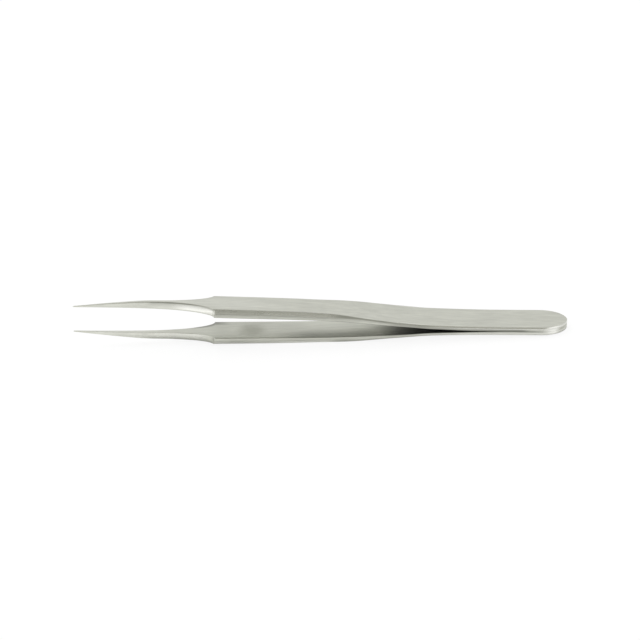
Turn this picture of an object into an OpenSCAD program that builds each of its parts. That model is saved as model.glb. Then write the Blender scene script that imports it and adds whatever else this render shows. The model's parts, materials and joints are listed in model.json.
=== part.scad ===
// Fine-point spring tweezers, lying at rest on the back of the lower arm.
// Two steel arms touch and are welded at the heel, and spring apart towards the tips.
// +X runs from the tips to the heel, Y across the arms, +Z up. All sizes in millimetres.
// Places along an arm are distances from its tip, along the line midway between the arms.

/* [Overall] */
// Length from the tips to the heel
length = 110; // [100:1:130]
// Width of an arm at the heel
heel_w = 9; // [8:0.1:11]
// Width of an arm at the grip
grip_w = 8; // [7:0.1:9]
// Width of an arm at the end of the grip
grip_end_w = 8.1; // [7.5:0.1:9]
// Length of the rounded end of the heel
heel_round = 6; // [4:0.1:7]

/* [Places along the arm] */
// Middle of the needle
needle_at = 9; // [7:0.5:11]
// Where the needle starts to widen
root_at = 17; // [14:0.5:19]
// Shoulder, where the arm reaches its full width
shoulder_at = 31.5; // [28:0.5:35]
// End of the thick grip
grip_end_at = 57; // [53:0.5:61]
// Middle of the spring, where it is thinnest
spring_at = 73; // [70:0.5:75]
// Where the spring bends towards the other arm
bend_at = 80; // [78:0.5:83]
// Where the two arms meet
meet_at = 96; // [93:0.5:98]

/* [Opening between the arms] */
// Opening at the tips
tip_gap = 6; // [4.6:0.1:7]
// Opening at the middle of the needles
needle_gap = 6.16; // [5:0.02:7]
// Opening where the needles start to widen
root_gap = 6.08; // [5:0.02:7]
// Opening at the shoulders
shoulder_gap = 5.1; // [4.6:0.1:6]
// Opening at the end of the grip
grip_gap = 3.95; // [3.5:0.05:4.5]
// Opening at the middle of the spring
spring_gap = 1.94; // [1.6:0.05:2.3]
// Opening where the spring bends
bend_gap = 0.88; // [0.7:0.02:1]

/* [Thickness of an arm] */
// At the very tip
tip_t = 0.2; // [0.15:0.01:0.3]
// At the middle of the needle
needle_t = 1.02; // [0.8:0.01:1.2]
// Where the needle starts to widen
root_t = 1.6; // [1.3:0.01:1.7]
// At the shoulder
shoulder_t = 1.84; // [1.75:0.01:2]
// At the end of the grip
grip_t = 1.6; // [1.52:0.01:1.7]
// At the middle of the spring
spring_t = 0.86; // [0.8:0.01:0.92]
// At the heel
heel_t = 0.96; // [0.88:0.01:1]

/* [Needle and edges] */
// Width of the needle at its tip
tip_w = 0.22; // [0.15:0.01:0.4]
// Width of the needle where it starts to widen
root_w = 1.3; // [1:0.05:1.6]
// Width of the bevel along the back of the grip
bevel_w = 0.9; // [0.9:0.05:1.2]
// Depth of the bevel along the back of the grip
bevel_h = 1.1; // [0.8:0.05:1.1]
// Width of the narrower bevel along the back of the spring and the heel
spring_bevel = 0.34; // [0.2:0.02:0.36]
// Distance before the end of the grip at which the bevel starts to narrow
bevel_lead = 3.5; // [1:0.5:6]
// Length over which the bevel narrows
bevel_run = 12; // [8:0.5:14]
// Width of the bevel along the back of the neck
neck_bevel = 0.4; // [0.3:0.05:0.5]
// Depth over which the ground sides of the neck lean into its bevel
neck_round = 0.9; // [0.4:0.05:0.9]
// Radius between a side and the bevel
edge_r = 0.12; // [0.08:0.01:0.14]
// Chamfer on the inner edges of the grip
inner_c = 0.26; // [0.1:0.01:0.3]
// Chamfer on the inner edges of the heel, the groove at the seam
seam_c = 0.1; // [0.05:0.01:0.12]
// Length of the weld at the heel, where the seam closes
weld_len = 8; // [5:0.5:10]

/* [Hidden] */
// Chamfer left on the inner edges at the weld
weld_c = 0.02;
// Spacing of the sections along the needle, the grip and the spring
needle_step = 1.4;
grip_step = 3.2;
spring_step = 1.6;
// Turn between sections round the shoulder and the heel, in degrees
turn_step = 7.5;
// Turn of the last section, which closes the heel with a narrow flat
last_turn = 86;
// Turn between points round a back edge, in degrees
edge_step = 30;
// Largest shares of the thickness that the inner chamfer, the neck's bevel and its rounding take
chamfer_share = 0.2;
bevel_share = 0.25;
round_share = 0.45;
// Largest shares of the half width that the bevel and the radius take
narrow_share = 0.5;
radius_share = 0.3;
// Share of the shoulder over which the rounding of the neck fades into the grip
fade_share = 0.2;

function clamp(u) = max(0, min(1, u));

// Smooth curve through points [place, value], level at its far end
function rise(p, i) = (p[i + 1][1] - p[i][1]) / (p[i + 1][0] - p[i][0]);
function tangent(p, i) =
    i == 0 ? rise(p, 0)
    : i == len(p) - 1 ? 0
    : (p[i + 1][1] - p[i - 1][1]) / (p[i + 1][0] - p[i - 1][0]);
function span_of(p, d) = max([for (i = [0 : len(p) - 2]) if (i == 0 || d >= p[i][0]) i]);
function hermite(a, b, ta, tb, u) =
    a * (2 * pow(u, 3) - 3 * pow(u, 2) + 1) + ta * (pow(u, 3) - 2 * pow(u, 2) + u)
    + b * (3 * pow(u, 2) - 2 * pow(u, 3)) + tb * (pow(u, 3) - pow(u, 2));
function curve(p, d) =
    let (i = span_of(p, d), h = p[i + 1][0] - p[i][0], u = min(1, (d - p[i][0]) / h))
    hermite(p[i][1], p[i + 1][1], h * tangent(p, i), h * tangent(p, i + 1), u);

// Inner face of an arm, measured from the middle between the arms
gap_points = [
    [0, tip_gap / 2], [needle_at, needle_gap / 2], [root_at, root_gap / 2],
    [shoulder_at, shoulder_gap / 2], [grip_end_at, grip_gap / 2],
    [spring_at, spring_gap / 2], [bend_at, bend_gap / 2], [meet_at, 0]];
function inner(d) = d >= meet_at ? 0 : curve(gap_points, d);

// Thickness of an arm
thick_points = [
    [0, tip_t], [needle_at, needle_t], [root_at, root_t], [shoulder_at, shoulder_t],
    [grip_end_at, grip_t], [spring_at, spring_t], [meet_at, heel_t]];
function thick(d) = curve(thick_points, d);
function outer(d) = inner(d) + thick(d);

// Half the width of an arm: a straight needle, a hollow shoulder, the grip, the spring and the round heel
heel_start = length - heel_round;
grip_points = [[shoulder_at, grip_w / 2], [grip_end_at, grip_end_w / 2], [spring_at, heel_w / 2]];
function needle_half(d) = (tip_w + (root_w - tip_w) * d / root_at) / 2;
function hollow(u) = 1 - sqrt(1 - min(1, u * u));
function shoulder_half(d) =
    root_w / 2 + (grip_w - root_w) / 2 * hollow((d - root_at) / (shoulder_at - root_at));
function heel_half(d) = heel_w / 2 * sqrt(1 - pow((d - heel_start) / heel_round, 2));
function half_w(d) =
    d < root_at ? needle_half(d)
    : d < shoulder_at ? shoulder_half(d)
    : d < heel_start ? curve(grip_points, min(d, spring_at))
    : heel_half(d);

// Half the width of the flat back, which the bevels leave. The hollow shoulder cuts through the grip's bevel
bevel_from = grip_end_at - bevel_lead;
function ease(u) = u * u * (3 - 2 * u);
function bevel(d) = bevel_w + (spring_bevel - bevel_w) * ease(clamp((d - bevel_from) / bevel_run));
function full_half(d) = d < shoulder_at ? grip_w / 2 : half_w(d);
function uncut_back(d) = full_half(d) - min(bevel(d), narrow_share * full_half(d));
function neck_edge(d) = min(neck_bevel, narrow_share * half_w(d), bevel_share * thick(d));
function back_half(d) = min(uncut_back(d), half_w(d) - neck_edge(d));
function back_drop(y, d) = max(0, y - back_half(d)) * bevel_h / bevel_w;

// Rounding of a side into its bevel: deep on the ground neck, and a small radius from the shoulder on
function on_neck(d) = clamp((shoulder_at - d) / (fade_share * (shoulder_at - root_at)));
function edge_in(d) = min(edge_r * (1 + on_neck(d)), radius_share * half_w(d));
function edge_down(d) = edge_in(d) + (min(neck_round, round_share * thick(d)) - edge_in(d)) * on_neck(d);

// Chamfer of the inner edges: it narrows along the spring, and closes over the first half of the weld
weld_at = length - weld_len;
function seam(d) = seam_c + (weld_c - seam_c) * clamp((d - weld_at) / (weld_len / 2));
function long_chamfer(d) = inner_c + (seam(d) - inner_c) * clamp((d - grip_end_at) / (meet_at - grip_end_at));
function chamfer(d) = min(chamfer_share * half_w(d), chamfer_share * thick(d), long_chamfer(d));

// Right half of the section of an arm at one place, from the inner face round to the back
function half_section(d) =
    let (w = half_w(d), zi = inner(d), zo = outer(d), c = chamfer(d), r = edge_in(d), deep = edge_down(d))
    concat(
        [[w - c, zi], [w, zi + c]],
        [for (a = [0 : edge_step : 90])
            let (y = w - r + r * cos(a))
            [y, zo - back_drop(y, d) - deep * (1 - sin(a))]],
        [[back_half(d), zo]]);
function section(d) =
    let (right = half_section(d), n = len(right))
    concat(right, [for (i = [n - 1 : -1 : 0]) [-right[i][0], right[i][1]]]);

// Places of the sections, closer together where the outline turns
function evenly(a, b, step) = let (n = ceil((b - a) / step)) [for (i = [0 : n - 1]) a + (b - a) * i / n];
places = concat(
    evenly(0, root_at, needle_step),
    [for (a = [0 : turn_step : 90 - turn_step]) root_at + (shoulder_at - root_at) * sin(a)],
    evenly(shoulder_at, grip_end_at, grip_step),
    evenly(grip_end_at, meet_at, spring_step),
    evenly(meet_at, heel_start, grip_step),
    [for (a = [0 : turn_step : last_turn]) heel_start + heel_round * sin(a)],
    [heel_start + heel_round * sin(last_turn)]);

// Slope at which the closed side rests: a line from the heel that just touches the belly of an arm
rest_slope = max([for (d = places) if (d < meet_at) (outer(d) - outer(length)) / (length - d)]);
rest_tilt = atan(rest_slope);

// An arm above the middle line, as a loft through its sections
module arm_solid() {
    n = len(section(0));
    m = len(places);
    points = [for (d = places) for (p = section(d)) [d - length / 2, p[0], p[1]]];
    sides = [for (k = [0 : m - 2]) for (i = [0 : n - 1])
        [k * n + i, k * n + (i + 1) % n, (k + 1) * n + (i + 1) % n, (k + 1) * n + i]];
    tip_cap = [for (i = [n - 1 : -1 : 0]) i];
    heel_cap = [for (i = [0 : n - 1]) (m - 1) * n + i];
    polyhedron(points, concat(sides, [tip_cap, heel_cap]), convexity = 4);
}

// Lays the tweezers down, touching the ground with the heel and the belly of the lower arm
module lie_down() {
    heel_low = outer(length) * cos(rest_tilt) + length / 2 * sin(rest_tilt);
    centre_x = (outer(0) - outer(length)) / 2 * sin(rest_tilt);
    translate([centre_x, 0, heel_low])
        rotate([0, rest_tilt, 0])
            children();
}

module upper_arm() {
    color("lightgray")
        lie_down()
            arm_solid();
}

module lower_arm() {
    color("silver")
        lie_down()
            mirror([0, 0, 1])
                arm_solid();
}

upper_arm();
lower_arm();
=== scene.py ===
"""Fine-point tweezers of satin stainless steel, lying on a pale floor under soft studio light."""

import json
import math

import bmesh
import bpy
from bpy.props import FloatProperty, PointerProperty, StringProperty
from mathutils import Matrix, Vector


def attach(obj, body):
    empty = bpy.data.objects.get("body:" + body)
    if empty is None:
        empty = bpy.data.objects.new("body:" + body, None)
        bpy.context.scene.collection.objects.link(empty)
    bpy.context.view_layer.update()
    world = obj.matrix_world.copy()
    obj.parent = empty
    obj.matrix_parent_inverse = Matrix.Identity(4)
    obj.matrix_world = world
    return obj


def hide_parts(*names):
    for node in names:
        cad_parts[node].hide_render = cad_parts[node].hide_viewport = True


bl_info = {
    "name": "Fine-Point Tweezers",
    "version": (1, 0, 0),
    "blender": (4, 5, 0),
    "location": "View3D > Sidebar > Tweezers",
    "description": "Makes a pair of ground steel tweezers and a small studio for them",
    "category": "Object",
}

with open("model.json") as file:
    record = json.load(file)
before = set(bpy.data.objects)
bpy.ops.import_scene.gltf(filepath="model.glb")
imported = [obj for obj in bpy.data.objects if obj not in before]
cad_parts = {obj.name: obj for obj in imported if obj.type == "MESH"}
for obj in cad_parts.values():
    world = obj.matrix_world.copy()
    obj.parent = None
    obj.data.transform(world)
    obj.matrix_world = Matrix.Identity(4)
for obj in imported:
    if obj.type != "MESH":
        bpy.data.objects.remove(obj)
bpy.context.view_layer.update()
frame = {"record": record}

MM = 0.001
# The part is far smaller than a metre, so points this close are one point
MERGE_DISTANCE = 0.1e-6
QUARTER_TURN = math.pi / 2
WHITE = "ffffff"


def mount(name):
    """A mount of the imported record."""
    return next(item for item in frame["record"]["mounts"] if item["name"] == name)


# The line midway between the arms starts between the tips and runs back to the heel
TIP_MIDDLE = Vector(mount("tips")["pos_m"])
OUT_OF_TIPS = Vector(mount("tips")["axis"])
REST_TILT = math.atan2(OUT_OF_TIPS.z, -OUT_OF_TIPS.x)
ARM_FRAME = Matrix.Translation(TIP_MIDDLE) @ Matrix.Rotation(REST_TILT, 4, "Y")


def place_on_arm(along, across, height):
    """A point at a distance from the tips, a place across the arms and a height over their middle."""
    return ARM_FRAME @ Vector((along, across, height))


def length_property(name, description, millimetres):
    """A length that a user would change, in metres as Blender keeps it."""
    return FloatProperty(
        name=name, description=description, default=millimetres * MM, unit="LENGTH", precision=5)


class ArmSizes(bpy.types.PropertyGroup):
    """Sizes of one arm. Only the seam's edge is rounder than the solid's. Places count from the tip."""

    length: length_property("Length", "From the tips to the heel", 110)
    heel_w: length_property("Heel width", "Width of an arm at the heel", 9)
    grip_w: length_property("Grip width", "Width of an arm at the grip", 8)
    grip_end_w: length_property("Grip end width", "Width of an arm at the end of the grip", 8.1)
    heel_round: length_property("Heel rounding", "Length of the rounded end of the heel", 6)
    needle_at: length_property("Needle at", "Middle of the needle", 9)
    root_at: length_property("Root at", "Where the needle starts to widen", 17)
    shoulder_at: length_property("Shoulder at", "Where the arm reaches its full width", 31.5)
    grip_end_at: length_property("Grip end at", "End of the thick grip", 57)
    spring_at: length_property("Spring at", "Middle of the spring, where it is thinnest", 73)
    bend_at: length_property("Bend at", "Where the spring bends towards the other arm", 80)
    meet_at: length_property("Meeting at", "Where the two arms meet", 96)
    tip_gap: length_property("Tip opening", "Opening at the tips", 6)
    needle_gap: length_property("Needle opening", "Opening at the middle of the needles", 6.16)
    root_gap: length_property("Root opening", "Opening where the needles start to widen", 6.08)
    shoulder_gap: length_property("Shoulder opening", "Opening at the shoulders", 5.1)
    grip_gap: length_property("Grip opening", "Opening at the end of the grip", 3.95)
    spring_gap: length_property("Spring opening", "Opening at the middle of the spring", 1.94)
    bend_gap: length_property("Bend opening", "Opening where the spring bends", 0.88)
    tip_t: length_property("Tip thickness", "Thickness at the very tip", 0.2)
    needle_t: length_property("Needle thickness", "Thickness at the middle of the needle", 1.02)
    root_t: length_property("Root thickness", "Thickness where the needle starts to widen", 1.6)
    shoulder_t: length_property("Shoulder thickness", "Thickness at the shoulder", 1.84)
    grip_t: length_property("Grip thickness", "Thickness at the end of the grip", 1.6)
    spring_t: length_property("Spring thickness", "Thickness at the middle of the spring", 0.86)
    heel_t: length_property("Heel thickness", "Thickness at the heel", 0.96)
    tip_w: length_property("Tip width", "Width of the needle at its tip", 0.22)
    root_w: length_property("Root width", "Width of the needle where it starts to widen", 1.3)
    bevel_w: length_property("Bevel width", "Width of the bevel along the back of the grip", 0.9)
    bevel_h: length_property("Bevel depth", "Depth of the bevel along the back of the grip", 1.1)
    bevel_lead: length_property("Bevel lead", "Where the bevel narrows, before the grip's end", 3.5)
    bevel_run: length_property("Bevel run-out", "Length over which the bevel narrows", 12)
    spring_bevel: length_property("Spring bevel", "Width of the bevel on the spring and the heel", 0.34)
    edge_r: length_property("Edge radius", "Radius on the back edges", 0.12)
    neck_bevel: length_property("Neck bevel", "Width of the bevel along the back of the neck", 0.4)
    neck_round: length_property("Neck rounding", "Depth over which the neck's sides lean in", 0.9)
    inner_c: length_property("Inner edge", "Rounding of the inner edges of the grip", 0.26)
    seam_c: length_property("Seam edge", "Rounding of the inner edges at the heel's seam", 0.16)
    weld_c: length_property("Weld edge", "Rounding left on the inner edges at the weld", 0.02)
    weld_len: length_property("Weld length", "Length of the weld at the heel", 8)


class SteelFinish(bpy.types.PropertyGroup):
    """Finish of the steel, with the colours of its painted highlights and painted shade. Colours are sRGB
    hex values.
    """

    satin: StringProperty(name="Satin steel", description="Colour of the satin faces", default="c6c7bd")
    # The polished colour also gives the painted highlights and the painted glint
    polished: StringProperty(
        name="Polished steel", description="Colour of the hollow-ground facets", default="f8f8f2")
    # Colour of a soft darker patch on the inner face of the lower grip
    dark_patch: StringProperty(
        name="Dark patch", description="Colour of the smudge inside the lower grip", default="a3a498")
    # Colour of the painted shade in the gap between the arms, near the weld and along some edges
    painted_shade: StringProperty(
        name="Dark film", description="Colour of the film near the weld and at edges", default="1e1f16")
    roughness: FloatProperty(
        name="Roughness", description="Roughness of the satin faces", default=0.32, subtype="FACTOR")
    polished_roughness: FloatProperty(
        name="Polished roughness", description="Roughness of the ground facets",
        default=0.16, subtype="FACTOR")
    streak_spacing: length_property("Streak spacing", "Distance between two brushed lines", 0.62)
    streak_length: length_property("Streak length", "Length of a brushed line along the arms", 6)
    cloud_width: length_property("Cloud width", "Width of the slower changes of tone", 2.6316)
    cloud_length: length_property("Cloud length", "Length of the slower changes of tone", 6.6667)


class StudioSetup(bpy.types.PropertyGroup):
    """Floor, light and camera. Colours are sRGB hex values."""

    floor: StringProperty(name="Floor", description="Colour of the floor", default="fafafa")
    floor_white: FloatProperty(
        name="Floor white", description="Share of plain white in the floor as it is seen",
        default=0.88, subtype="FACTOR")
    mirrored_white: FloatProperty(
        name="Mirrored white", description="Share of plain white in the floor as the steel mirrors it",
        default=0.3, subtype="FACTOR")
    room: StringProperty(
        name="Room", description="Colour of the quiet part of the room", default="fffff4")
    room_level: FloatProperty(
        name="Room level", description="Brightness of the quiet part of the room", default=0.36)
    side_level: FloatProperty(
        name="Side level", description="Brightness of the room to the left and right", default=1.12)
    front_level: FloatProperty(
        name="Front level", description="Brightness of the room straight in front", default=1.1)
    lamp_power: FloatProperty(
        name="Lamp power", description="Power of the soft lamp", default=2.5, subtype="POWER")
    lamp_size: length_property("Lamp size", "Side of the soft lamp", 600)
    elevation: FloatProperty(
        name="Elevation", description="Angle of the view over the plane midway between the arms",
        default=math.radians(28), subtype="ANGLE")
    roll: FloatProperty(
        name="Roll", description="Turn of the camera about its own axis", default=math.radians(0.46),
        subtype="ANGLE")
    lens: FloatProperty(
        name="Lens", description="Focal length of the camera in millimetres", default=200,
        subtype="DISTANCE_CAMERA")
    picture_w: length_property("Picture width", "Width of the picture at the tweezers", 142.5)
    aim_along: length_property("Aim", "Place along the arms at the middle of the picture", 55.0)
    aim_up: length_property("Aim height", "Middle of the picture above the arms' middle line", 0.18)


def linear(hex_colour):
    """An sRGB hex value as a linear colour with alpha, by the numbers of the sRGB curve."""
    colour = []
    for start in (0, 2, 4):
        value = int(hex_colour[start:start + 2], 16) / 255
        colour.append(value / 12.92 if value <= 0.04045 else ((value + 0.055) / 1.055) ** 2.4)
    return colour + [1.0]


def add(tree, kind, inputs=(), **settings):
    """Adds a node with its settings, and links or sets the inputs given by name or number."""
    node = tree.nodes.new(kind)
    for name, value in settings.items():
        setattr(node, name, value)
    for key, value in dict(inputs).items():
        value = getattr(value, "socket", value)
        if isinstance(value, bpy.types.NodeSocket):
            tree.links.new(value, node.inputs[key])
        else:
            node.inputs[key].default_value = value
    return node


class Number:
    """A number in a node tree. Arithmetic on it adds the Math nodes that work it out."""

    def __init__(self, tree, socket):
        self.tree = tree
        self.socket = socket

    def math(self, operation, *values, **settings):
        inputs = enumerate(values or [self])
        node = add(self.tree, "ShaderNodeMath", inputs, operation=operation, **settings)
        return Number(self.tree, node.outputs[0])

    def __add__(self, other):
        return self.math("ADD", self, other)

    def __sub__(self, other):
        return self.math("SUBTRACT", self, other)

    def __radd__(self, other):
        return self.math("ADD", other, self)

    def __rsub__(self, other):
        return self.math("SUBTRACT", other, self)

    def __mul__(self, other):
        return self.math("MULTIPLY", self, other)

    def __truediv__(self, other):
        return self.math("DIVIDE", self, other)

    def smaller(self, other):
        return self.math("MINIMUM", self, other)

    def larger(self, other):
        return self.math("MAXIMUM", self, other)

    def share(self):
        """The number kept between 0 and 1."""
        return self.math("ADD", self, 0.0, use_clamp=True)

    def sine(self):
        return self.math("SINE")

    def cosine(self):
        return self.math("COSINE")


def smooth_curve(knots, place):
    """The smooth curve through knots (place, value), level past its last knot."""
    tangents = []
    for index in range(len(knots)):
        before = knots[max(index - 1, 0)]
        after = knots[min(index + 1, len(knots) - 1)]
        tangents.append((after[1] - before[1]) / (after[0] - before[0]))
    tangents[-1] = 0.0
    value = knots[0][1]
    for index in range(len(knots) - 1):
        (start, low), (end, high) = knots[index], knots[index + 1]
        span = end - start
        part = ((place - start) / span).share()
        squared = part * part
        cubed = squared * part
        value = value + (high - low) * (squared * 3.0 - cubed * 2.0)
        value = value + span * tangents[index] * (cubed - squared * 2.0 + part)
        value = value + span * tangents[index + 1] * (cubed - squared)
    return value


def ease(share):
    """A share that starts and ends slowly."""
    return share * share * (3.0 - share * 2.0)


def hump(share):
    """0 at both ends of a share and 1 in its middle."""
    return share * (1.0 - share) * 4.0


def ramp(value, start, end):
    """0 before the start, 1 past the end, and straight between."""
    return ((value - start) / (end - start)).share()


def smooth_step(value, start, end):
    """0 before the start, 1 past the end, and eased between."""
    return ease(ramp(value, start, end))


def largest(first, *others):
    """The largest of some numbers."""
    for other in others:
        first = first.larger(other)
    return first


def size_names():
    """Names of the sizes of an arm, in their order."""
    return list(ArmSizes.__annotations__)


def size_label(name):
    """The name that a user sees for a size."""
    return ArmSizes.bl_rna.properties[name].name


# Rings of the loft along the needle, the hollow shoulder, the grip and spring, and the round heel
NEEDLE_RINGS = 90
SHOULDER_RINGS = 60
BODY_RINGS = 210
HEEL_RINGS = 40
RINGS = NEEDLE_RINGS + SHOULDER_RINGS + BODY_RINGS + HEEL_RINGS
# Half a ring has six stretches: inner face, inner edge, wall, back edge, bevel, back
STRETCHES = 6
POINTS_A_STRETCH = 6
AROUND = 2 * STRETCHES * POINTS_A_STRETCH
# Largest share of the thickness or the half width that an inner edge takes
EDGE_SHARE = 0.2
# Largest shares of the thickness that the neck's bevel and its rounding take
BEVEL_SHARE = 0.25
ROUND_SHARE = 0.45
# Largest shares of the half width that a bevel and a back edge's radius take
NARROW_SHARE = 0.5
RADIUS_SHARE = 0.3
# Share of the shoulder over which the rounding of the neck fades into the grip
FADE_SHARE = 0.2
# Share of the weld over which the inner edges close
CLOSING_SHARE = 0.5
# The bevels are a little round: their slope grows by this share from the back to the edge
BEVEL_BOW = 0.35
# Least width that the bevel's slope is worked out over, as a share of the edge radius
LEAST_SHARE = 0.1


def parts_passed(ring):
    """How far a ring has come through the needle, the shoulder, the grip with the spring, and the heel."""
    parts = []
    start = 0
    for rings in (NEEDLE_RINGS, SHOULDER_RINGS, BODY_RINGS, HEEL_RINGS):
        parts.append(((ring - start) * (1 / rings)).share())
        start += rings
    return parts


def place_along(sizes, parts):
    """Distance of a ring from the tip. Rings lie closer together where the outline turns."""
    needle_part, shoulder_part, body_part, heel_part = parts
    heel_start = sizes["length"] - sizes["heel_round"]
    along = sizes["root_at"] * needle_part
    along = along + (sizes["shoulder_at"] - sizes["root_at"]) * (shoulder_part * QUARTER_TURN).sine()
    along = along + (heel_start - sizes["shoulder_at"]) * body_part
    return along + sizes["heel_round"] * (heel_part * QUARTER_TURN).sine()


def inner_height(sizes, along):
    """Height of the inner face over the middle line."""
    return smooth_curve([
        (0.0, sizes["tip_gap"] * 0.5), (sizes["needle_at"], sizes["needle_gap"] * 0.5),
        (sizes["root_at"], sizes["root_gap"] * 0.5), (sizes["shoulder_at"], sizes["shoulder_gap"] * 0.5),
        (sizes["grip_end_at"], sizes["grip_gap"] * 0.5), (sizes["spring_at"], sizes["spring_gap"] * 0.5),
        (sizes["bend_at"], sizes["bend_gap"] * 0.5), (sizes["meet_at"], 0.0)], along)


def thickness(sizes, along):
    """Thickness of the arm."""
    return smooth_curve([
        (0.0, sizes["tip_t"]), (sizes["needle_at"], sizes["needle_t"]),
        (sizes["root_at"], sizes["root_t"]), (sizes["shoulder_at"], sizes["shoulder_t"]),
        (sizes["grip_end_at"], sizes["grip_t"]), (sizes["spring_at"], sizes["spring_t"]),
        (sizes["meet_at"], sizes["heel_t"])], along)


def half_widths(sizes, along, shoulder_part, heel_part):
    """Half the width of the arm, and what it would be if its shoulder weren't hollow."""
    hollow = 1.0 - (shoulder_part * QUARTER_TURN).cosine()
    to_root = (along / sizes["root_at"]).share()
    needle = (sizes["tip_w"] + (sizes["root_w"] - sizes["tip_w"]) * to_root) * 0.5
    widening = smooth_curve([
        (sizes["shoulder_at"], 0.0), (sizes["grip_end_at"], (sizes["grip_end_w"] - sizes["grip_w"]) * 0.5),
        (sizes["spring_at"], (sizes["heel_w"] - sizes["grip_w"]) * 0.5)], along)
    heel_share = (heel_part * QUARTER_TURN).cosine()
    half = (needle + (sizes["grip_w"] - sizes["root_w"]) * 0.5 * hollow + widening) * heel_share
    full_half = (sizes["grip_w"] * 0.5 + widening) * heel_share
    return half, full_half


def back_half_width(sizes, along, thick, half, full_half):
    """Half the width of the flat back between the bevels. The hollow shoulder cuts through them."""
    run_out = ease(((along - sizes["grip_end_at"] + sizes["bevel_lead"]) / sizes["bevel_run"]).share())
    bevel = sizes["bevel_w"] + (sizes["spring_bevel"] - sizes["bevel_w"]) * run_out
    uncut_back = full_half - bevel.smaller(full_half * NARROW_SHARE)
    neck_edge = sizes["neck_bevel"].smaller(half * NARROW_SHARE).smaller(thick * BEVEL_SHARE)
    return uncut_back.smaller(half - neck_edge)


def inner_edge_size(sizes, along, thick, half):
    """Rounding of the inner edges. It narrows along the spring and closes at the weld."""
    closing = ((along - sizes["weld_at"]) / (sizes["weld_len"] * CLOSING_SHARE)).share()
    seam = sizes["seam_c"] + (sizes["weld_c"] - sizes["seam_c"]) * closing
    to_meeting = ramp(along, sizes["grip_end_at"], sizes["meet_at"])
    edge = sizes["inner_c"] + (seam - sizes["inner_c"]) * to_meeting
    return edge.smaller(half * EDGE_SHARE).smaller(thick * EDGE_SHARE)


def back_edge_sizes(sizes, along, thick, half):
    """How far the edge between a wall and its bevel reaches inwards and down. On the neck it is deep."""
    fade = (sizes["shoulder_at"] - sizes["root_at"]) * FADE_SHARE
    on_neck = ((sizes["shoulder_at"] - along) / fade).share()
    inwards = (sizes["edge_r"] * (on_neck + 1.0)).smaller(half * RADIUS_SHARE)
    down = inwards + (sizes["neck_round"].smaller(thick * ROUND_SHARE) - inwards) * on_neck
    return inwards, down


class ArmPoint:
    """A point of an arm's surface, as numbers in the tree."""

    def __init__(self, sizes, side, ring, stretch, hand):
        parts = parts_passed(ring)
        along = place_along(sizes, parts)
        inner = inner_height(sizes, along)
        thick = thickness(sizes, along)
        half, full_half = half_widths(sizes, along, parts[1], parts[3])
        back_half = back_half_width(sizes, along, thick, half, full_half)
        edge = inner_edge_size(sizes, along, thick, half)
        inwards, down = back_edge_sizes(sizes, along, thick, half)

        # How far the point has come through each stretch of its half ring: 0 before it and 1 past it
        steps = [(stretch - float(before)).share() for before in range(STRETCHES)]
        inner_face, inner_edge, wall, back_edge, bevel, back = steps
        crowded_end = 1.0 - (1.0 - inner_face) * (1.0 - inner_face)
        across = (half - edge) * crowded_end + edge * (inner_edge * QUARTER_TURN).sine()
        across = across - inwards * (1.0 - (back_edge * QUARTER_TURN).cosine())
        across = across - (half - inwards - back_half) * ease(bevel) - back_half * (back * back)
        down_bevel = (across - back_half) / (half - back_half).larger(sizes["edge_r"] * LEAST_SHARE)
        down_bevel = down_bevel.share()
        drop = (half - back_half) * sizes["bevel_h"] / sizes["bevel_w"]
        drop = drop * down_bevel * (1.0 - BEVEL_BOW + down_bevel * BEVEL_BOW)
        lift = edge * (1.0 - (inner_edge * QUARTER_TURN).cosine())
        back_height = inner + thick - drop - down * (1.0 - (back_edge * QUARTER_TURN).sine())
        height = inner + lift + (back_height - inner - edge) * ease(wall)
        open_ring = ring.share()
        middle = inner + thick * 0.5

        self.sizes = sizes
        self.along = along
        self.across = across * open_ring * hand
        self.height = (middle + (height - middle) * open_ring) * side
        # The point's place between the middle of the arm, 0, and its far side, 1, or its near side, -1
        self.to_far = self.across / half.larger(sizes["edge_r"])
        self.upper = (side + 1.0) * 0.5
        self.lower = 1.0 - self.upper
        self.inner_edge, self.wall, self.back_edge, self.bevel, self.back = steps[1:]
        # Shares of the wall, fading over the edges beside it, and of the bevel, fading towards the back
        self.on_side = inner_edge * (1.0 - back_edge * back_edge)
        self.on_bevel = back_edge * (1.0 - bevel * bevel)

    def past(self, change, shape=smooth_step):
        """0 before a change of finish along the arm, and 1 past it."""
        start, end = [self.sizes[name] + further * MM for name, further in change]
        return shape(self.along, start, end)

    def before(self, change, shape=smooth_step):
        """1 before a change of finish along the arm, and 0 past it."""
        return 1.0 - self.past(change, shape)


# Changes of finish, painted shade and painted highlight along an arm. Each starts and ends at a size and
# some millimetres past it
NEEDLE_ENDS = (("root_at", -2.4), ("root_at", 3.6))
NEEDLE_EDGE_ENDS = (("root_at", -3), ("root_at", 0))
NECK_STARTS = (("root_at", -4), ("root_at", 3))
NECK_SHADE_STARTS = (("root_at", -1), ("root_at", 1))
NECK_SHADE_ENDS = (("shoulder_at", -0.3), ("shoulder_at", 0.1))
GLEAM_STARTS = (("root_at", 4), ("root_at", 9))
LOWER_GLEAM_ENDS = (("shoulder_at", -4), ("shoulder_at", -0.5))
HOLLOW_ENDS = (("shoulder_at", -0.12), ("shoulder_at", 0))
GRIP_STARTS = (("shoulder_at", -0.5), ("shoulder_at", 0.5))
GRIP_WALL_STARTS = (("shoulder_at", -0.3), ("shoulder_at", 0.3))
GRIP_EDGE_WEARS = (("shoulder_at", 8), ("grip_end_at", -8))
GRIP_EDGE_ENDS = (("grip_end_at", -1), ("grip_end_at", 3))
BACK_WEAR_ENDS = (("shoulder_at", 5), ("shoulder_at", 18))
FAR_SHADE_STARTS = (("shoulder_at", -7), ("shoulder_at", -3))
FAR_SHADE_ENDS = (("shoulder_at", 0), ("shoulder_at", 5))
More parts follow.
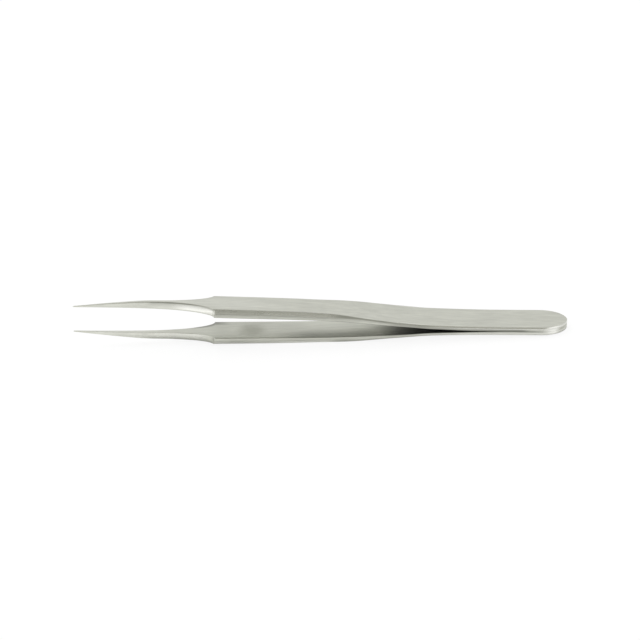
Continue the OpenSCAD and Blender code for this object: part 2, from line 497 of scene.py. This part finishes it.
FAINT_SHADE_STARTS = (("root_at", 6), ("shoulder_at", 0))
FAINT_SHADE_ENDS = (("shoulder_at", 10), ("grip_end_at", 0))
NEAR_SHADE_STARTS = (("grip_end_at", -15), ("grip_end_at", -3))
RUN_OUT_DARKENS = (("grip_end_at", -1), ("grip_end_at", 4))
INNER_SHADE_STARTS = (("spring_at", -9), ("spring_at", 0))
INNER_SHADE_DEEPENS = (("spring_at", -4), ("bend_at", -2))
INNER_SHADE_THINS = (("meet_at", -4), ("meet_at", 2))
WALL_SHADE_STARTS = (("spring_at", -5), ("spring_at", 0))
WALL_SHADE_ENDS = (("meet_at", 3.5), ("meet_at", 7))
GLINT_STARTS = (("spring_at", -3), ("spring_at", 1))
GLINT_ENDS = (("spring_at", 4), ("spring_at", 7))
SPRING_BENDS = (("spring_at", 0), ("bend_at", 0))
HEEL_BEVEL_STARTS = (("bend_at", -3), ("meet_at", -7))
HEEL_STARTS = (("meet_at", -10), ("meet_at", -3))
HEEL_SIDE_STARTS = (("weld_at", 1.5), ("weld_at", 5))
END_STARTS = (("length", -3), ("length", -1.4))
# Length over which the very tip stays satin
TIP_FADE = 6 * MM

# Share of polishing and painted highlight at each place, from 0, satin, to 1
POLISH_AND_HIGHLIGHT = {
    "needle": 0.03, "needle side": 0.12, "lower needle": 0.1, "needle edge": 0.3,
    "shoulder": 0.2, "lower shoulder": 0.2, "gleam": 0.1, "upper gleam": 0.7,
    "grip edge": 0.25, "worn grip edge": 0.35, "worn back": 0.13,
    "spring edge": 0.6, "heel bevel": 0.9, "lower wall": 0.5, "glint": 0.5}
# How strong the painted shade is at each place, from 0, none, to 1
PAINTED_SHADE = {
    "inner": 0.46, "deep inner": 0.36, "near edge": 0.42, "far edge": 0.54, "faint_shade": 0.08,
    "wall": 0.42, "heel wall": 0.13, "grip wall": 0.2, "run-out": 0.16, "neck": 0.3,
    "end": 0.12, "end edge": 0.18}
# Share of the inner faces' painted shade that is gone past the arms' meeting
THINNED_SHARE = 0.5
# Shares of the inner edge and the back edge that lose the painted shade of the face or the wall beside
# them
INNER_EDGE_LOSS = 0.6
BACK_EDGE_LOSS = 0.4
# Stretches across an arm over which the painted shade and its fainter part ease in, from its middle, 0, to
# its far or near side, 1
FAR_EDGE = (0.5, 0.78)
FAR_FAINT_SHADE = (-0.3, 0.6)
NEAR_EDGE = (0.0, 0.75)
# Shares of the bevel, and of the back, over which the painted shade and the painted glint beside them fade
BEVEL_FADE = 1 / 4
GLINT_FADE = 1 / 3
END_FADE = 1 / 6


def needle_polish_and_sheen(point):
    """Polishing and painted highlight: the needles are a little brighter than the grips, above all on
    their sides and on the lower arm.
    """
    shown = point.before(NEEDLE_ENDS, ramp) * ramp(point.along, 0.0, TIP_FADE)
    brighter = point.inner_edge * POLISH_AND_HIGHLIGHT["needle side"] + point.lower * POLISH_AND_HIGHLIGHT["lower needle"]
    return shown * (POLISH_AND_HIGHLIGHT["needle"] + brighter)


def shoulder_polish_and_gleam(point):
    """The hollow-ground sides of the neck are polished, with a painted highlight that is strongest towards
    their top as they lie.
    """
    towards_top = point.upper * point.wall + point.lower * (1.0 - point.wall)
    gleam = towards_top * (POLISH_AND_HIGHLIGHT["gleam"] + point.upper * POLISH_AND_HIGHLIGHT["upper gleam"])
    gleam = gleam * point.past(GLEAM_STARTS)
    shine = POLISH_AND_HIGHLIGHT["shoulder"] + point.lower * POLISH_AND_HIGHLIGHT["lower shoulder"] + gleam
    shine = shine * (1.0 - point.lower * point.past(LOWER_GLEAM_ENDS))
    return point.on_side * point.before(HOLLOW_ENDS, ramp) * point.past(NECK_STARTS) * shine


def edge_wear_and_highlight(point):
    """Wear along the middle of the bevels, and a painted highlight over the whole bevel at the heel."""
    grip = POLISH_AND_HIGHLIGHT["grip edge"] + point.past(GRIP_EDGE_WEARS) * POLISH_AND_HIGHLIGHT["worn grip edge"]
    grip = grip * point.before(GRIP_EDGE_ENDS) * point.past(GRIP_STARTS)
    needle = point.before(NEEDLE_EDGE_ENDS) * POLISH_AND_HIGHLIGHT["needle edge"]
    middle = (grip + point.past(SPRING_BENDS) * POLISH_AND_HIGHLIGHT["spring edge"] + needle) * hump(point.bevel)
    return middle.larger(point.on_bevel * point.past(HEEL_BEVEL_STARTS) * POLISH_AND_HIGHLIGHT["heel bevel"])


def painted_glint(point):
    """A painted glint on the upper back where the bevel has run out."""
    beside_bevel = point.bevel * (1.0 - ramp(point.back, 0.0, GLINT_FADE)) * point.upper
    return beside_bevel * POLISH_AND_HIGHLIGHT["glint"] * point.past(GLINT_STARTS) * point.before(GLINT_ENDS)


def polish_with_highlights(point):
    """Share of polishing and painted highlight at a point, from 0, satin, to 1."""
    # Painted highlights on the walls of the heel, and along the middle of the lower arm's wall past the
    # spring
    heel = point.on_side * point.past(HEEL_SIDE_STARTS) * point.before(END_STARTS)
    lower_wall_highlight = point.past(SPRING_BENDS) * point.lower * hump(point.wall) * POLISH_AND_HIGHLIGHT["lower wall"]
    worn_back = point.back * point.before(BACK_WEAR_ENDS) * POLISH_AND_HIGHLIGHT["worn back"]
    return largest(
        needle_polish_and_sheen(point), shoulder_polish_and_gleam(point), edge_wear_and_highlight(point), painted_glint(point),
        heel, lower_wall_highlight, worn_back)


def inner_painted_shade(point):
    """Painted shade on the inner faces, in the narrowing gap between the arms: deeper towards the weld,
    and thinner again past the meeting.
    """
    inside = 1.0 - point.inner_edge * INNER_EDGE_LOSS - point.wall * (1.0 - INNER_EDGE_LOSS)
    painted_shade = point.past(INNER_SHADE_STARTS) * PAINTED_SHADE["inner"]
    painted_shade = painted_shade + point.past(INNER_SHADE_DEEPENS) * PAINTED_SHADE["deep inner"]
    return inside * painted_shade * (1.0 - point.past(INNER_SHADE_THINS) * THINNED_SHARE)


def lower_face_painted_shade(point):
    """On the lower inner face: painted shade at the grip's near edge and the shoulder's far edge, and a
    fainter painted shade towards the far side.
    """
    near = smooth_step(point.to_far * -1.0, *NEAR_EDGE) * (1.0 - point.inner_edge) * PAINTED_SHADE["near edge"]
    near = near * point.past(NEAR_SHADE_STARTS) * point.before(INNER_SHADE_STARTS)
    far = smooth_step(point.to_far, *FAR_EDGE) * point.past(FAR_SHADE_STARTS) * point.before(FAR_SHADE_ENDS)
    faint_shade = smooth_step(point.to_far, *FAR_FAINT_SHADE) * point.past(FAINT_SHADE_STARTS) * point.before(FAINT_SHADE_ENDS)
    far = (far * PAINTED_SHADE["far edge"]).larger(faint_shade * PAINTED_SHADE["faint_shade"]) * (1.0 - point.inner_edge * point.wall)
    return near.larger(far) * point.lower


def upper_wall_painted_shade(point):
    """Painted shade on the walls of the upper arm: weak along the grip, and strong from the spring to the
    weld.
    """
    at_heel = point.past(HEEL_STARTS)
    below_bevel = (1.0 - ramp(point.bevel, 0.0, BEVEL_FADE)) * point.upper
    edge_loss = BACK_EDGE_LOSS + at_heel * (1.0 - BACK_EDGE_LOSS)
    painted_shade = point.inner_edge * (1.0 - point.back_edge * edge_loss)
    painted_shade = painted_shade * (PAINTED_SHADE["wall"] + at_heel * PAINTED_SHADE["heel wall"])
    painted_shade = painted_shade * point.past(WALL_SHADE_STARTS) * point.before(WALL_SHADE_ENDS)
    return painted_shade.larger(point.wall * point.past(GRIP_WALL_STARTS) * PAINTED_SHADE["grip wall"]) * below_bevel


def painted_shade_strength(point):
    """How strong the painted shade is at a point, from 0 to 1."""
    # Painted shade on the bevel's run-out, a painted dark line along the neck's bevel, and painted shade
    # on the walls and edges at the heel's end
    run_out = point.on_bevel * point.past(RUN_OUT_DARKENS) * point.before(SPRING_BENDS) * PAINTED_SHADE["run-out"]
    neck = point.on_bevel * point.past(NECK_SHADE_STARTS) * point.before(NECK_SHADE_ENDS) * PAINTED_SHADE["neck"]
    end = point.past(END_STARTS) * point.inner_edge * (1.0 - ramp(point.back, 0.0, END_FADE))
    end = end * (PAINTED_SHADE["end"] + point.back_edge * PAINTED_SHADE["end edge"])
    return largest(inner_painted_shade(point), lower_face_painted_shade(point), upper_wall_painted_shade(point), run_out, neck, end)


def add_inputs(tree):
    """Adds the tree's named inputs, and returns the sizes and the side as numbers."""
    for name in size_names():
        socket = tree.interface.new_socket(
            name=size_label(name), in_out="INPUT", socket_type="NodeSocketFloat")
        socket.subtype = "DISTANCE"
    side_socket = tree.interface.new_socket(name="Side", in_out="INPUT", socket_type="NodeSocketFloat")
    side_socket.description = "1 for the upper arm, -1 for the lower"
    given = add(tree, "NodeGroupInput")
    sizes = {name: Number(tree, given.outputs[size_label(name)]) for name in size_names()}
    sizes["weld_at"] = sizes["length"] - sizes["weld_len"]
    return sizes, Number(tree, given.outputs["Side"])


def build_arm_tree(material):
    """Geometry nodes that loft one arm through its sections, from named sizes."""
    tree = bpy.data.node_groups.new("Ground arm", "GeometryNodeTree")
    sizes, side = add_inputs(tree)
    tree.interface.new_socket(name="Geometry", in_out="OUTPUT", socket_type="NodeSocketGeometry")

    # A flat grid: each of its rows is a ring of the loft, cut open at the middle of the inner face
    grid = add(tree, "GeometryNodeMeshGrid", {
        "Size X": float(RINGS), "Size Y": float(AROUND),
        "Vertices X": RINGS + 1, "Vertices Y": AROUND + 1})
    where = add(tree, "ShaderNodeSeparateXYZ", {0: add(tree, "GeometryNodeInputPosition").outputs[0]})
    ring = Number(tree, where.outputs["X"]) + RINGS / 2
    turn = Number(tree, where.outputs["Y"]) * (1 / POINTS_A_STRETCH)
    stretch = STRETCHES - turn.math("ABSOLUTE")
    point = ArmPoint(sizes, side, ring, stretch, turn.math("SIGN"))

    # The points carry their share of polishing and painted highlight, and the strength of their painted
    # shade
    marked = grid.outputs["Mesh"]
    for name, value in (("polish_and_highlight", polish_with_highlights(point)), ("painted_shade_strength", painted_shade_strength(point))):
        stored = add(tree, "GeometryNodeStoreNamedAttribute", {
            "Geometry": marked, "Name": name, "Value": value}, data_type="FLOAT", domain="POINT")
        marked = stored.outputs[0]
    position = add(tree, "ShaderNodeCombineXYZ", {"X": point.along, "Y": point.across, "Z": point.height})
    moved = add(tree, "GeometryNodeSetPosition", {"Geometry": marked, "Position": position.outputs[0]})
    closed = add(tree, "GeometryNodeMergeByDistance", {
        "Geometry": moved.outputs[0], "Distance": MERGE_DISTANCE})
    smooth = add(tree, "GeometryNodeSetShadeSmooth", {"Geometry": closed.outputs[0], "Shade Smooth": True})
    laid = add(tree, "GeometryNodeTransform", {
        "Geometry": smooth.outputs[0], "Translation": TIP_MIDDLE, "Rotation": (0.0, REST_TILT, 0.0)})
    real = add(tree, "GeometryNodeRealizeInstances", {0: laid.outputs[0]})
    coated = add(tree, "GeometryNodeSetMaterial", {"Geometry": real.outputs[0], "Material": material})
    add(tree, "NodeGroupOutput", {0: coated.outputs[0]})
    return tree


# The steel spreads what it mirrors mostly across its brushed lines. The turn is a share of a full one
BRUSHED_SPREAD = 0.7
SPREAD_TURN = 0.25
# The noise lies mostly in this span
NOISE_SPAN = (0.3, 0.7)
NOISE_DETAIL = 4.0
LINE_RAGGEDNESS = 0.65
# Darkest and lightest tone that the clouds and the brushed lines give the satin colour
CLOUD_TONES = (0.955, 1.04)
LINE_TONES = (0.9, 1.1)
# How far the roughness goes up and down from line to line
ROUGHNESS_SWING = 0.03
# Strength and depth of the relief that the brushed lines have
LINE_RELIEF = 0.08
LINE_DEPTH = 0.02 * MM
# Middle of the darker patch, and how far it reaches along the arms, across them and up
DARK_PATCH_AT = (39.9 * MM, -0.1 * MM, -2.35 * MM)
DARK_PATCH_REACH = (4.4 * MM, 4.4 * MM, 0.8 * MM)
DARK_PATCH_STRENGTH = 0.8
# Patches at its ragged edge, and how far they push the edge out, as a share of its reach
PATCH_SIZE = 1.4286 * MM
PATCH_DETAIL = 2.0
PATCH_PUSH = 0.5
# Pushed distance from its middle, as a share of its reach, where it ends and where it is full
DARK_PATCH_EDGES = (1.25, 0.35)


def brushed_lines(tree, place, finish):
    """Noise drawn out along the arms. The real lines are too fine to be seen, so these are coarser."""
    across = 1 / finish.streak_spacing
    scaled = add(tree, "ShaderNodeMapping", {
        "Vector": place, "Rotation": (0.0, -REST_TILT, 0.0),
        "Scale": (1 / finish.streak_length, across, across)})
    lines = add(tree, "ShaderNodeTexNoise", {
        "Vector": scaled.outputs[0], "Scale": 1.0, "Detail": NOISE_DETAIL, "Roughness": LINE_RAGGEDNESS})
    return lines.outputs[0]


def handling_clouds(tree, place, finish):
    """Slower changes of tone from handling and polishing, some millimetres long."""
    across = 1 / finish.cloud_width
    scaled = add(tree, "ShaderNodeMapping", {
        "Vector": place, "Scale": (1 / finish.cloud_length, across, across)})
    clouds = add(tree, "ShaderNodeTexNoise", {
        "Vector": scaled.outputs[0], "Scale": 1.0, "Detail": NOISE_DETAIL})
    return clouds.outputs[0]


def dark_patch_mask(tree, place):
    """A soft darker patch on the inner face of the lower grip, ragged at its edge."""
    middle = place_on_arm(*DARK_PATCH_AT)
    offset = add(tree, "ShaderNodeVectorMath", {0: place, 1: middle}, operation="SUBTRACT")
    scaled = add(tree, "ShaderNodeVectorMath", {0: offset.outputs[0], 1: DARK_PATCH_REACH}, operation="DIVIDE")
    distance = add(tree, "ShaderNodeVectorMath", {0: scaled.outputs[0]}, operation="LENGTH")
    patches = add(tree, "ShaderNodeTexNoise", {
        "Vector": place, "Scale": 1 / PATCH_SIZE, "Detail": PATCH_DETAIL})
    pushed = Number(tree, patches.outputs[0]) * PATCH_PUSH + distance.outputs["Value"]
    mask = add(tree, "ShaderNodeMapRange", enumerate((
        pushed, *DARK_PATCH_EDGES, 0.0, DARK_PATCH_STRENGTH)), interpolation_type="SMOOTHSTEP")
    return mask.outputs[0]


def satin_steel(finish):
    """Stainless steel, brushed along the arms, with hollows and edges that grinding and wear polished, and
    painted highlights and painted shade in its colour.
    """
    # To the eye it is a soft, greyish mirror, which draws a highlight out across its fine lines
    material = bpy.data.materials.new("satin brushed stainless steel")
    material.use_nodes = True
    tree = material.node_tree
    shader = tree.nodes["Principled BSDF"]
    shader.inputs["Metallic"].default_value = 1.0
    shader.inputs["Anisotropic"].default_value = BRUSHED_SPREAD
    shader.inputs["Anisotropic Rotation"].default_value = SPREAD_TURN
    place = add(tree, "ShaderNodeTexCoord").outputs["Object"]
    lines = brushed_lines(tree, place, finish)
    clouds = handling_clouds(tree, place, finish)
    # Shares of polishing with painted highlight, and of painted shade, as the arm's points carry them
    ground = add(tree, "ShaderNodeAttribute", attribute_name="polish_and_highlight").outputs["Fac"]
    painted_shade = add(tree, "ShaderNodeAttribute", attribute_name="painted_shade_strength").outputs["Fac"]

    # Satin in changing tones, then the darker patch, the polished facets with their painted highlights,
    # and the painted shade over it
    cloud_tone = add(tree, "ShaderNodeMapRange", enumerate((clouds, *NOISE_SPAN, *CLOUD_TONES)))
    line_tone = add(tree, "ShaderNodeMapRange", enumerate((lines, *NOISE_SPAN, *LINE_TONES)))
    tone = Number(tree, cloud_tone.outputs[0]) * line_tone.outputs[0]
    satin = add(tree, "ShaderNodeVectorMath", {
        0: linear(finish.satin)[:3], "Scale": tone}, operation="SCALE")
    colour = satin.outputs[0]
    layers = (
        (dark_patch_mask(tree, place), finish.dark_patch), (ground, finish.polished), (painted_shade, finish.painted_shade))
    for share, layer in layers:
        mixed = add(tree, "ShaderNodeMix", {0: share, 6: colour, 7: linear(layer)}, data_type="RGBA")
        colour = mixed.outputs[2]
    tree.links.new(colour, shader.inputs["Base Color"])

    swing = (finish.roughness - ROUGHNESS_SWING, finish.roughness + ROUGHNESS_SWING)
    satin_rough = add(tree, "ShaderNodeMapRange", enumerate((lines, *NOISE_SPAN, *swing)))
    rough = add(tree, "ShaderNodeMix", {
        0: ground, 2: satin_rough.outputs[0], 3: finish.polished_roughness}, data_type="FLOAT")
    tree.links.new(rough.outputs[0], shader.inputs["Roughness"])
    relief = add(tree, "ShaderNodeBump", {
        "Height": lines, "Strength": LINE_RELIEF, "Distance": LINE_DEPTH})
    tree.links.new(relief.outputs[0], shader.inputs["Normal"])
    # The tangent's socket keeps no value of its own, so the one direction of the lines is linked to it
    along_arms = add(tree, "ShaderNodeCombineXYZ", {"X": 1.0, "Y": 0.0, "Z": 0.0})
    tree.links.new(along_arms.outputs[0], shader.inputs["Tangent"])
    return material


# Only rays of a depth below this see the board whiter: the steel's first bounce
SECOND_BOUNCE = 1.5


def floor_material(studio):
    """Matt white board. The camera and the steel see it whiter than its light alone would make it."""
    # To the eye it is an even white that mirrors nothing and shows only a faint shadow
    material = bpy.data.materials.new("matt white board")
    material.use_nodes = True
    tree = material.node_tree
    shader = tree.nodes["Principled BSDF"]
    shader.inputs["Base Color"].default_value = linear(studio.floor)
    shader.inputs["Roughness"].default_value = 1.0
    shader.inputs["Specular IOR Level"].default_value = 0.0
    white = add(tree, "ShaderNodeEmission", {"Color": linear(WHITE), "Strength": 1.0})
    rays = add(tree, "ShaderNodeLightPath")
    depth = Number(tree, rays.outputs["Ray Depth"])
    mirrored = depth.math("LESS_THAN", depth, SECOND_BOUNCE) * rays.outputs["Is Glossy Ray"]
    seen = Number(tree, rays.outputs["Is Camera Ray"])
    share = seen * studio.floor_white + mirrored * studio.mirrored_white
    mixed = add(tree, "ShaderNodeMixShader", {0: share, 1: shader.outputs[0], 2: white.outputs[0]})
    tree.links.new(mixed.outputs[0], tree.nodes["Material Output"].inputs["Surface"])
    return material


def finished_mesh(piece, name):
    """The piece's evaluated mesh as a plain closed mesh with outward normals."""
    depsgraph = bpy.context.evaluated_depsgraph_get()
    mesh = bpy.data.meshes.new_from_object(
        piece.evaluated_get(depsgraph), preserve_all_data_layers=True, depsgraph=depsgraph)
    mesh.name = name
    work = bmesh.new()
    work.from_mesh(mesh)
    bmesh.ops.dissolve_degenerate(work, dist=MERGE_DISTANCE, edges=work.edges)
    bmesh.ops.recalc_face_normals(work, faces=work.faces)
    open_edges = sum(not edge.is_manifold for edge in work.edges)
    work.to_mesh(mesh)
    work.free()
    if open_edges:
        raise RuntimeError(f"{name} has {open_edges} open edges")
    return mesh


def make_arm(name, side, tree, sizes):
    """One arm as a plain mesh that stands for its solid."""
    piece = bpy.data.objects.new(f"{name}_ground", bpy.data.meshes.new(name))
    bpy.context.scene.collection.objects.link(piece)
    modifier = piece.modifiers.new("Ground arm", "NODES")
    modifier.node_group = tree
    inputs = [item for item in tree.interface.items_tree if item.in_out == "INPUT"]
    identifiers = {item.name: item.identifier for item in inputs}
    for size_name in size_names():
        modifier[identifiers[size_label(size_name)]] = getattr(sizes, size_name)
    modifier[identifiers["Side"]] = side
    mesh = finished_mesh(piece, f"{name}_ground")
    piece.modifiers.remove(modifier)
    piece.data = mesh
    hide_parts(name)
    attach(piece, "root")


class TWEEZERS_OT_arms(bpy.types.Operator):
    """Makes both arms from their sizes"""

    bl_idname = "tweezers.arms"
    bl_label = "Make the arms"

    def execute(self, context):
        scene = context.scene
        tree = build_arm_tree(satin_steel(scene.tweezers_finish))
        for name, side in (("upper_arm", 1.0), ("lower_arm", -1.0)):
            make_arm(name, side, tree, scene.tweezers_sizes)
        return {"FINISHED"}


# Half the side of the square floor, in metres
FLOOR_HALF = 1.5
# The room is quiet in a round zone in front of the object and above the camera. Its edges are cosines of
# the angle from its middle: where it starts and where it is full
QUIET_ELEVATION = math.radians(56)
QUIET_MIDDLE = (0.0, -math.cos(QUIET_ELEVATION), math.sin(QUIET_ELEVATION))
QUIET_EDGES = (0.86, 0.97)
# How far sideways a direction points where the left and right of the room start and where they are full
SIDE_EDGES = (0.25, 0.6)
# How much of that is taken off straight in front, where the sides give way. Directions beside the object
# and behind it lose nothing
FRONT_LOSS = 0.5
# How far back a direction points where the front of the room starts and where it is full
FRONT_EDGES = (-0.4, -0.8)
# The lamp hangs to the left of the object, behind and above it
LAMP_AT = Vector((-0.35, 0.45, 0.75))
# The camera sees what lies between these shares of its distance
CLIP_START = 0.1
CLIP_END = 10


def make_floor(studio):
    """A floor that the tweezers lie on."""
    half = FLOOR_HALF
    corners = [(-half, -half, 0), (half, -half, 0), (half, half, 0), (-half, half, 0)]
    mesh = bpy.data.meshes.new("floor")
    mesh.from_pydata(corners, [], [(0, 1, 2, 3)])
    mesh.materials.append(floor_material(studio))
    floor = bpy.data.objects.new("floor", mesh)
    bpy.context.scene.collection.objects.link(floor)


def bright_level(tree, direction, studio):
    """Brightness of the room outside its quiet zone: a little higher at the sides and in front."""
    parts = add(tree, "ShaderNodeSeparateXYZ", {0: direction})
    backwards = parts.outputs["Y"]
    loss = add(tree, "ShaderNodeMapRange", enumerate((backwards, -1.0, 0.0, FRONT_LOSS, 0.0)))
    sideways = Number(tree, parts.outputs["X"]).math("ABSOLUTE") - loss.outputs[0]
    at_side = add(tree, "ShaderNodeMapRange", enumerate((
        sideways, *SIDE_EDGES, 1.0, studio.side_level)), interpolation_type="SMOOTHSTEP")
    ahead = add(tree, "ShaderNodeMapRange", enumerate((
        backwards, *FRONT_EDGES, 1.0, studio.front_level)), interpolation_type="SMOOTHSTEP")
    return Number(tree, at_side.outputs[0]) * ahead.outputs[0]


def make_room(studio):
    """A bright room with a quieter zone over its front. The steel mirrors it."""
    world = bpy.data.worlds.new("studio")
    world.use_nodes = True
    bpy.context.scene.world = world
    tree = world.node_tree
    background = tree.nodes["Background"]
    direction = add(tree, "ShaderNodeTexCoord").outputs["Generated"]
    towards = add(tree, "ShaderNodeVectorMath", {0: direction, 1: QUIET_MIDDLE}, operation="DOT_PRODUCT")
    quiet = add(tree, "ShaderNodeMapRange", enumerate((
        towards.outputs["Value"], *QUIET_EDGES, 0.0, 1.0)), interpolation_type="SMOOTHSTEP")
    colour = add(tree, "ShaderNodeMix", {
        0: quiet.outputs[0], 6: linear(WHITE), 7: linear(studio.room)}, data_type="RGBA")
    tree.links.new(colour.outputs[2], background.inputs["Color"])
    dimming = add(tree, "ShaderNodeMapRange", enumerate((
        quiet.outputs[0], 0.0, 1.0, 1.0, studio.room_level)))
    level = bright_level(tree, direction, studio) * dimming.outputs[0]
    # To the camera itself the room is never darker than white
    shown = level.larger(add(tree, "ShaderNodeLightPath").outputs["Is Camera Ray"])
    tree.links.new(shown.socket, background.inputs["Strength"])


def make_lamp(studio):
    """A soft lamp, turned to the object."""
    light = bpy.data.lights.new("soft lamp", "AREA")
    light.shape = "SQUARE"
    light.size = studio.lamp_size
    light.energy = studio.lamp_power
    lamp = bpy.data.objects.new("soft lamp", light)
    lamp.location = LAMP_AT
    lamp.rotation_mode = "QUATERNION"
    lamp.rotation_quaternion = (-LAMP_AT).to_track_quat("-Z", "Y")
    # The room is what the steel mirrors, so the lamp's own image is left out of it
    lamp.visible_glossy = False
    bpy.context.scene.collection.objects.link(lamp)


def make_camera(studio):
    """The photograph's view: across the arms, from above, through a long lens."""
    camera = bpy.data.cameras.new("camera")
    camera.lens = studio.lens
    camera.dof.use_dof = False
    distance = studio.picture_w * camera.lens / camera.sensor_width
    camera.clip_start = distance * CLIP_START
    camera.clip_end = distance * CLIP_END
    # The view's own directions, first in the arms' frame, and then rolled and laid in the scene's
    right = Vector((1, 0, 0))
    up = Vector((0, math.sin(studio.elevation), math.cos(studio.elevation)))
    back = right.cross(up)
    turn = ARM_FRAME.to_3x3()
    rolled_right = right * math.cos(studio.roll) + up * math.sin(studio.roll)
    rolled_up = up * math.cos(studio.roll) - right * math.sin(studio.roll)
    axes = Matrix((turn @ rolled_right, turn @ rolled_up, turn @ back)).transposed()
    aim = place_on_arm(studio.aim_along, 0.0, 0.0) + turn @ up * studio.aim_up
    seat = bpy.data.objects.new("camera", camera)
    bpy.context.scene.collection.objects.link(seat)
    seat.matrix_world = Matrix.Translation(aim + turn @ back * distance) @ axes.to_4x4()
    bpy.context.scene.camera = seat


class TWEEZERS_OT_stage(bpy.types.Operator):
    """Makes the floor, the light and the camera"""

    bl_idname = "tweezers.stage"
    bl_label = "Make the stage"

    def execute(self, context):
        studio = context.scene.tweezers_studio
        make_floor(studio)
        make_room(studio)
        make_lamp(studio)
        make_camera(studio)
        context.scene.view_settings.view_transform = "Standard"
        return {"FINISHED"}


class TWEEZERS_PT_panel(bpy.types.Panel):
    """Sizes, finish and studio, and the steps that use them"""

    bl_label = "Tweezers"
    bl_space_type = "VIEW_3D"
    bl_region_type = "UI"
    bl_category = "Tweezers"

    def draw(self, context):
        layout = self.layout
        for group in ("tweezers_sizes", "tweezers_finish", "tweezers_studio"):
            settings = getattr(context.scene, group)
            column = layout.column(align=True)
            for name in type(settings).__annotations__:
                column.prop(settings, name)
        for operator in OPERATORS:
            layout.operator(operator.bl_idname)


OPERATORS = (TWEEZERS_OT_arms, TWEEZERS_OT_stage)
CLASSES = (ArmSizes, SteelFinish, StudioSetup, *OPERATORS, TWEEZERS_PT_panel)


def register():
    """Adds the classes, and their settings to every scene."""
    for item in CLASSES:
        bpy.utils.register_class(item)
    bpy.types.Scene.tweezers_sizes = PointerProperty(type=ArmSizes)
    bpy.types.Scene.tweezers_finish = PointerProperty(type=SteelFinish)
    bpy.types.Scene.tweezers_studio = PointerProperty(type=StudioSetup)


def unregister():
    """Takes away what register added."""
    del bpy.types.Scene.tweezers_studio
    del bpy.types.Scene.tweezers_finish
    del bpy.types.Scene.tweezers_sizes
    for item in reversed(CLASSES):
        bpy.utils.unregister_class(item)


def main():
    """Makes the tweezers and their stage."""
    register()
    bpy.ops.tweezers.arms()
    bpy.ops.tweezers.stage()


if __name__ == "__main__":
    main()
